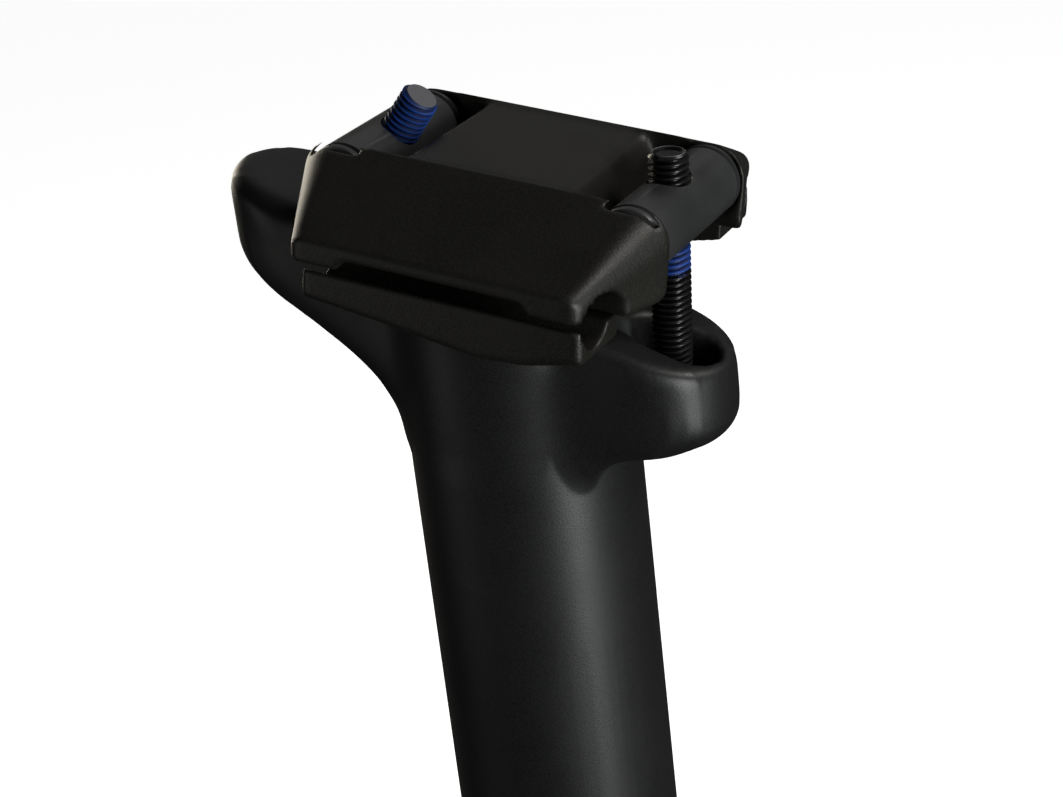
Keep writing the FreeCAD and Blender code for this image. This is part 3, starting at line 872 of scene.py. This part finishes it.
    def true_tube(self, bm: bmesh.types.BMesh) -> None:
        """Bring the tube's skin back to a true cylinder, fading out towards the ears."""
        for vert in bm.verts:
            radius = off_axis(vert)
            gap = radius - TUBE_RADIUS
            if abs(gap) < self.tube_reach and vert.co.z < self.tube_top:
                slack = self.tube_slack * min(1.0, (self.tube_top - vert.co.z) / self.tube_fade)
                kept = math.copysign(max(0.0, abs(gap) - slack), gap)
                scale = (TUBE_RADIUS + kept) / radius
                vert.co.x *= scale
                vert.co.y *= scale

    def build(self) -> bpy.types.Object:
        """Make the whole sliding post.

        Returns:
            The finished piece.
        """
        bm = self.upper_part()
        tail = cad_copy("upper_post")
        cut_across(tail, self.cut_height - self.overlap, False)
        add_mesh(bm, tail)
        rims = [edge for edge in bm.edges if edge.is_boundary]
        for inner in (True, False):
            ring = [edge for edge in rims if (off_axis(edge.verts[0]) < self.bore_limit) == inner]
            bmesh.ops.bridge_loops(bm, edges=ring)
        bmesh.ops.recalc_face_normals(bm, faces=bm.faces[:])
        piece = to_object(bm, "forged_head_and_upper_tube", math.radians(50))
        return dress(piece, Finish.HEAD, Finish.HEAD.slot, "sliding_post", "upper_post")


# --- rail clamp --------------------------------------------------------------------------


@dataclass
class RailClamp:
    """The two halves that grip the saddle rails.

    The mouths are the round openings in the wings that take the ends of the barrel nuts. Their place,
    radius and depth are in millimetres in the clamp's own frame; everything else is in metres.
    """

    upper_voxel: float = 0.00032
    lower_voxel: float = 0.00030
    mouth_x: float = 18.9
    mouth_z: float = 5.8
    mouth_radius: float = 4.85
    mouth_end: float = 12.75
    mouth_depth: float = 4.0
    mouth_rim: float = 0.0064
    rounds: int = 4
    lower_rounds: int = 3
    bridge_rounds: int = 40
    leg_rounds: int = 10
    rim_rounds: int = 7

    def barrel_mouth(self, sign: int, side: int) -> bmesh.types.BMesh:
        """The cutter that opens a wing round the end of a barrel nut.

        Args:
            sign: 1 for the front barrel nut, -1 for the rear one.
            side: 1 for the left wing, -1 for the right one.

        Returns:
            A short cylinder across the clamp.
        """
        tool = bmesh.new()
        middle_y = side * (self.mouth_end - self.mouth_depth / 2)
        middle = Vector((sign * self.mouth_x, middle_y, self.mouth_z)) * MM
        bmesh.ops.create_cone(tool, cap_ends=True, segments=96, radius1=self.mouth_radius * MM,
                              radius2=self.mouth_radius * MM, depth=self.mouth_depth * MM,
                              matrix=Matrix.Translation(middle) @ Matrix.Rotation(math.pi / 2, 4, "X"))
        return tool

    def half(self, node: str) -> bmesh.types.BMesh:
        """A half's CAD mesh, turned into the clamp's own frame."""
        bm = cad_copy(node)
        bmesh.ops.transform(bm, matrix=clamp_matrix().inverted(), verts=bm.verts[:])
        return bm

    def finished(self, bm: bmesh.types.BMesh, name: str, node: str) -> bpy.types.Object:
        """Turn a half back into the row frame and dress it.

        Args:
            bm: The half, in the clamp's own frame.
            name: The piece's name.
            node: The CAD node that it stands for.

        Returns:
            The piece.
        """
        bmesh.ops.transform(bm, matrix=clamp_matrix(), verts=bm.verts[:])
        piece = to_object(bm, name, math.radians(60))
        return dress(piece, Finish.CLAMP, Finish.CLAMP.slot, "rail_clamp", node)

    def upper(self) -> bpy.types.Object:
        """The upper half: two tapering wings and the bridge between the barrel nuts."""
        bm = self.half("upper_clamp")
        for sign in (1, -1):
            for side in (1, -1):
                bm = less(bm, self.barrel_mouth(sign, side))
        bm = remeshed(bm, self.upper_voxel)
        soften(bm, bm.verts[:], self.rounds)
        bridge = [v for v in bm.verts if abs(v.co.x) < 0.0185 and abs(v.co.y) < 0.0115 and v.co.z > 0.0022]
        soften(bm, bridge, self.bridge_rounds)
        legs = [v for v in bm.verts if v.co.z < 0.0018 and 0.0105 < abs(v.co.y) < 0.0195]
        soften(bm, legs, self.leg_rounds)
        mouths = [v for v in bm.verts if 0.0108 < abs(v.co.y) < 0.0142 and v.co.z > 0.0
                  and math.hypot(abs(v.co.x) - 0.0194, v.co.z - 0.0054) < self.mouth_rim]
        soften(bm, mouths, self.rim_rounds)
        return self.finished(bm, "upper_rail_clamp", "upper_clamp")

    def lower(self) -> bpy.types.Object:
        """The lower half: the rocker and two side rails with bowed undersides."""
        bm = remeshed(self.half("lower_clamp"), self.lower_voxel)
        soften(bm, bm.verts[:], self.lower_rounds)
        return self.finished(bm, "lower_rail_clamp", "lower_clamp")

    def build(self) -> list[bpy.types.Object]:
        """Both halves."""
        return [self.upper(), self.lower()]


# --- bolts, barrel nuts and bolt seats ---------------------------------------------------


@dataclass
class BoltSet:
    """One clamp bolt with its barrel nut and the rocking seat under its head.

    Sizes are in millimetres, and the lean is in degrees from the post's axis.
    """

    side: str
    sign: float
    lean: float
    length: float
    tip: float
    patch: tuple[float, float]
    cupped: bool
    radius: float = 2.5
    pitch: float = 0.8
    thread_depth: float = 0.5
    crest_gap: float = 0.02
    turn_steps: int = 36
    neck: float = 0.6
    cup_rim: float = 0.55
    cup_depth: float = 0.35
    head_radius: float = 4.25
    head_height: float = 5.0
    ridges: int = 64
    ridge_scale: float = 0.972
    socket: float = 4.0
    socket_depth: float = 3.0
    barrel_radius: float = 4.49
    barrel_half: float = 12.2
    barrel_x: float = 19.4
    barrel_z: float = 5.4
    hole_gap: float = 0.03
    hole_bevel: float = 0.8
    seat_bevel: float = 0.7

    def matrix(self) -> Matrix:
        """The matrix to the row frame from the bolt's own, whose origin is on the barrel's axis."""
        middle = clamp_matrix() @ Vector((self.sign * self.barrel_x * MM, 0, self.barrel_z * MM))
        return Matrix.Translation(middle) @ Matrix.Rotation(math.radians(self.lean), 4, "Y")

    def thread(self, low: float, high: float) -> bmesh.types.BMesh:
        """A helical screw thread, cut flat at both ends.

        Args:
            low: Lower end, in millimetres.
            high: Upper end, in millimetres.

        Returns:
            The closed thread.
        """
        steps = self.turn_steps
        root, crest = self.radius - self.thread_depth, self.radius - self.crest_gap
        bm = bmesh.new()
        profile = [(root, 0.0), (root, 0.10), (crest, 0.38), (crest, 0.52), (root, self.pitch)]
        turns = int((high - low) / self.pitch) + 3
        begin = low - self.pitch * 1.5
        line = [bm.verts.new((radius * MM, 0, (begin + rise) * MM)) for radius, rise in profile]
        for first, second in zip(line, line[1:]):
            bm.edges.new((first, second))
        bmesh.ops.spin(bm, geom=bm.verts[:] + bm.edges[:], cent=(0, 0, 0), axis=(0, 0, 1),
                       dvec=(0, 0, self.pitch * MM / steps), angle=math.tau * turns, steps=steps * turns,
                       use_merge=False, use_duplicate=False)
        bmesh.ops.remove_doubles(bm, verts=bm.verts[:], dist=WELD)
        for height, normal in ((low, -1), (high, 1)):
            bmesh.ops.bisect_plane(bm, geom=bm.verts[:] + bm.edges[:] + bm.faces[:], dist=1e-8,
                                   plane_co=(0, 0, height * MM), plane_no=(0, 0, normal), clear_outer=True)
            rim = [edge for edge in bm.edges if edge.is_boundary
                   and all(abs(vert.co.z - height * MM) < WELD / 2 for vert in edge.verts)]
            bmesh.ops.contextual_create(bm, geom=rim)
        bmesh.ops.recalc_face_normals(bm, faces=bm.faces[:])
        return bm

    def chamfer_tip(self, bm: bmesh.types.BMesh, high: float) -> None:
        """Draw the last turn of the thread in towards the end face.

        Args:
            bm: The thread.
            high: Height of the end face, in millimetres.
        """
        for vert in bm.verts:
            depth = high * MM - vert.co.z
            limit = (self.radius - self.thread_depth) * MM + depth
            radius = off_axis(vert)
            if depth < self.thread_depth * MM and radius > limit:
                vert.co.x *= limit / radius
                vert.co.y *= limit / radius

    def bolt(self) -> bpy.types.Object:
        """The cap screw: helical thread, chamfered end, knurled head and hexagon socket."""
        under = -(self.length - self.tip)
        bm = self.thread(under + self.neck, self.tip)
        self.chamfer_tip(bm, self.tip)
        if self.cupped:
            end = [face for face in bm.faces if face.calc_center_median().z > (self.tip - 0.01) * MM
                   and abs(face.normal.z) > 0.9]
            bmesh.ops.inset_region(bm, faces=end, thickness=self.cup_rim * MM, use_even_offset=True)
            floor = list({vert for face in end for vert in face.verts})
            bmesh.ops.translate(bm, verts=floor, vec=(0, 0, -self.cup_depth * MM))
        add_mesh(bm, self.cap(under))
        matrix = self.matrix()
        bmesh.ops.transform(bm, matrix=matrix, verts=bm.verts[:])
        piece = to_object(bm, f"{self.side}_bolt_threaded", math.radians(28))
        direction = (matrix.to_3x3() @ Vector((0, 0, 1))).normalized()
        finish = LockedThread(f"{self.side}_bolt_black", matrix.translation.copy(), direction,
                              (self.patch[0] * MM, self.patch[1] * MM), (self.tip - 0.06) * MM)
        return dress(piece, finish.make(), "bolt_black", f"{self.side}_bolt", f"{self.side}_clamp_bolt")

    def cap(self, under: float) -> bmesh.types.BMesh:
        """The bolt's head with grip ridges and a socket, and the plain neck under the thread.

        Args:
            under: Height of the head's bearing face, in millimetres.

        Returns:
            The closed head.
        """
        low = under - self.head_height
        outer = self.head_radius
        bm = spun([(0.001, low), (outer - 0.5, low), (outer - 0.05, low + 0.45), (outer - 0.02, under - 0.3),
                   (outer - 0.3, under), (self.radius - 0.05, under), (self.radius - 0.25, under + 0.75),
                   (0.001, under + 0.75)], self.ridges)
        for vert in bm.verts:
            turn = math.atan2(vert.co.y, vert.co.x) / math.tau
            if off_axis(vert) > (outer - 0.1) * MM and round(turn * self.ridges) % 2:
                vert.co.x *= self.ridge_scale
                vert.co.y *= self.ridge_scale
        tool = bmesh.new()
        corner = self.socket / math.sqrt(3) * MM
        bmesh.ops.create_cone(tool, cap_ends=True, segments=6, radius1=corner, radius2=corner,
                              depth=2 * self.socket_depth * MM, matrix=Matrix.Translation((0, 0, low * MM)))
        return less(bm, tool)

    def barrel(self) -> bpy.types.Object:
        """The barrel nut: a round bar with dished ends, a groove near each end and its thread hole."""
        half, outer = self.barrel_half, self.barrel_radius
        end = [(0.001, half - 0.25), (outer - 1.5, half - 0.25), (outer - 1.25, half),
               (outer - 0.55, half), (outer - 0.12, half - 0.12), (outer, half - 0.5),
               (outer, half - 0.8), (outer - 0.4, half - 0.95), (outer - 0.4, half - 1.45),
               (outer, half - 1.6), (outer, 4.0)]
        bm = spun([(radius, -place) for radius, place in end] + end[::-1], 96)
        bmesh.ops.transform(bm, matrix=Matrix.Rotation(math.pi / 2, 4, "X"), verts=bm.verts[:])
        hole = self.radius + self.hole_gap
        mouth = hole + self.hole_bevel
        tool = spun([(0.001, -9), (mouth, -9), (mouth, -4.3), (hole, -3.5), (hole, 3.5),
                     (mouth, 4.3), (mouth, 9), (0.001, 9)], 64)
        bm = less(bm, tool)
        bmesh.ops.transform(bm, matrix=self.matrix(), verts=bm.verts[:])
        piece = to_object(bm, f"{self.side}_barrel_turned", math.radians(25))
        return dress(piece, Finish.BARREL, Finish.BARREL.slot, f"{self.side}_barrel",
                     f"{self.side}_barrel_nut")

    def seat(self) -> bpy.types.Object:
        """The rocking seat under the ear, with its edges broken."""
        bm = cad_copy(f"{self.side}_bolt_seat")
        bevel_sharp(bm, self.seat_bevel * MM)
        piece = to_object(bm, f"{self.side}_seat_rocking", math.radians(30))
        return dress(piece, Finish.WASHER, Finish.WASHER.slot, f"{self.side}_seat",
                     f"{self.side}_bolt_seat")

    def build(self) -> list[bpy.types.Object]:
        """The bolt, its barrel nut and its seat."""
        return [self.bolt(), self.barrel(), self.seat()]


# --- lower post --------------------------------------------------------------------------


@dataclass
class LowerPost:
    """The lower tube, the collar nut with its wiper, and the preload plug at the foot."""

    edge: float = 0.0004
    shown: tuple[tuple[str, str, Finish, str], ...] = (
        ("lower_tube", "lower_tube_marked", Finish.TUBE, "lower_post"),
        ("collar_nut", "collar_nut_grip", Finish.COLLAR, "lower_post"),
        ("wiper_seal", "wiper_seal_lip", Finish.SEAL, "lower_post"),
        ("preload_plug", "preload_plug_keyed", Finish.PLUG, "preload_screw"),
        ("bottom_out_bumper", "bumper_stop", Finish.BUMPER, "lower_post"),
    )

    def build(self) -> list[bpy.types.Object]:
        """Break the edges of the lower post's larger pieces and dress them.

        Returns:
            The dressed pieces.
        """
        made = []
        for node, name, finish, body in self.shown:
            bm = cad_copy(node)
            bevel_sharp(bm, self.edge)
            made.append(dress(to_object(bm, name, math.radians(30)), finish, finish.slot, body, node))
        return made


class Internals:
    """The CAD pieces inside the post that keep their own meshes and get a finish."""

    finishes: dict[str, Finish] = {
        "upper_bush": Finish.BUSH, "lower_bush": Finish.BUSH, "top_out_ring": Finish.BUMPER,
        "distance_sleeve": Finish.BUSH, "guide_key_1": Finish.KEY, "guide_key_2": Finish.KEY,
        "guide_key_3": Finish.KEY, "spring_end_cap": Finish.PLUG, "spring_seat_washer": Finish.WASHER,
        "main_spring": Finish.SPRING, "plug_seal": Finish.SEAL, "spring_spacer": Finish.BUSH,
    }

    def build(self) -> list[bpy.types.Object]:
        """Give each piece its finish.

        Returns:
            The dressed pieces.
        """
        made = []
        for node, finish in self.finishes.items():
            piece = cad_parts[node]
            piece.data.materials.clear()
            piece.data.materials.append(finish.material())
            made.append(piece)
        return made


# --- studio ------------------------------------------------------------------------------


@dataclass
class Studio:
    """Camera, floor, backdrop and soft lights."""

    eye: tuple[float, float, float] = (0.129567, -0.230916, 0.338406)
    look: tuple[float, float, float] = (-0.445907, 0.804176, -0.393024)
    up: tuple[float, float, float] = (-0.085567, 0.398785, 0.913044)
    lens: float = 75.353
    floor_height: float = -0.1002
    floor_glow: float = 0.93
    room_colour: tuple[float, float, float] = (0.022, 0.022, 0.023)
    white: float = 0.85
    aim: tuple[float, float, float] = (0.0, 0.0, 0.22)
    lamps: tuple[tuple, ...] = (
        ("key", (0.92, -0.36, -0.10), 0.85, (0.22, 0.75), 8.2, (0.98, 1.0, 0.99)),
        ("front_top", (0.66, 0.28, 0.74), 0.9, (0.24, 0.24), 2.6, (1.0, 0.98, 0.94)),
        ("back", (-0.30, 0.85, 0.62), 1.0, (0.8, 0.35), 0.28, (1.0, 0.99, 0.98)),
        ("rear_low", (-0.85, 0.55, 0.10), 0.9, (0.3, 0.5), 2.9, (1.0, 0.92, 0.76)),
        ("side", (-0.72, -0.68, -0.10), 0.9, (0.3, 0.5), 0.5, (1.0, 0.98, 0.95)),
    )

    def camera(self) -> None:
        """Place the camera."""
        data = bpy.data.cameras.new("camera")
        data.sensor_width, data.lens = 36.0, self.lens
        data.clip_start, data.clip_end = 0.01, 20.0
        made = linked("camera", data)
        back = -Vector(self.look).normalized()
        right = Vector(self.up).cross(back).normalized()
        above = back.cross(right)
        made.matrix_world = Matrix((
            (right.x, above.x, back.x, self.eye[0]), (right.y, above.y, back.y, self.eye[1]),
            (right.z, above.z, back.z, self.eye[2]), (0, 0, 0, 1)))
        bpy.context.scene.camera = made

    def lamp(self, name: str, toward: tuple[float, float, float], distance: float,
             size: tuple[float, float], power: float, colour: tuple[float, float, float]) -> None:
        """A soft rectangular light that faces the head.

        Args:
            name: The light's name.
            toward: Direction from the head to the light.
            distance: Distance from the head.
            size: Width and height of the light.
            power: Power in watts.
            colour: Colour of the light.
        """
        data = bpy.data.lights.new(name, "AREA")
        data.shape, data.size, data.size_y = "RECTANGLE", size[0], size[1]
        data.energy, data.color = power, colour
        made = linked(name, data)
        direction = Vector(toward).normalized()
        made.location = Vector(self.aim) + direction * distance
        made.rotation_mode = "QUATERNION"
        made.rotation_quaternion = direction.to_track_quat("Z", "Y")

    def backdrop(self) -> None:
        """A white backdrop behind the post, which lights it only as a dim room would."""
        world = bpy.data.worlds.new("studio")
        bpy.context.scene.world = world
        world.use_nodes = True
        nodes, links = world.node_tree.nodes, world.node_tree.links
        sky, room = nodes["Background"], nodes.new("ShaderNodeBackground")
        sky.inputs["Color"].default_value = (1, 1, 1, 1)
        room.inputs["Color"].default_value = (*self.room_colour, 1)
        mix, path = nodes.new("ShaderNodeMixShader"), nodes.new("ShaderNodeLightPath")
        links.new(path.outputs["Is Camera Ray"], mix.inputs[0])
        links.new(room.outputs[0], mix.inputs[1])
        links.new(sky.outputs[0], mix.inputs[2])
        links.new(mix.outputs[0], nodes["World Output"].inputs["Surface"])

    def floor(self) -> None:
        """A plain pale floor under the post's foot."""
        bm = bmesh.new()
        bmesh.ops.create_grid(bm, x_segments=1, y_segments=1, size=3.0,
                              matrix=Matrix.Translation((0, 0, self.floor_height)))
        floor = to_object(bm, "floor")
        graph = Graph("floor_white")
        material = graph.finish((self.white, self.white, self.white), 0.8 + 0.05 * graph.noise(40.0))
        shader = next(node for node in material.node_tree.nodes if node.type == "BSDF_PRINCIPLED")
        shader.inputs["Emission Color"].default_value = (1, 1, 1, 1)
        shader.inputs["Emission Strength"].default_value = self.floor_glow
        floor.data.materials.append(material)
        floor.visible_glossy = floor.visible_diffuse = False

    def build(self) -> None:
        """Make the whole studio."""
        bpy.context.scene.view_settings.view_transform = "Standard"
        self.camera()
        self.backdrop()
        self.floor()
        for lamp in self.lamps:
            self.lamp(*lamp)


def main() -> None:
    """Build every sub-assembly in order and report its pieces."""
    logging.basicConfig(level=logging.INFO, format="%(message)s")
    Studio().build()
    assemblies = [
        ForgedHead(), RailClamp(),
        BoltSet("front", 1.0, 3.9, 32.0, 7.5, (-7.6, -3.0), True),
        BoltSet("rear", -1.0, 39.6, 28.0, 9.6, (-9.0, 9.9), False),
        LowerPost(), Internals(),
    ]
    for assembly in assemblies:
        made = assembly.build()
        for piece in made if isinstance(made, list) else [made]:
            LOG.info("%s: %s, %d faces", type(assembly).__name__, piece.name, len(piece.data.polygons))


if __name__ == "__main__":
    main()
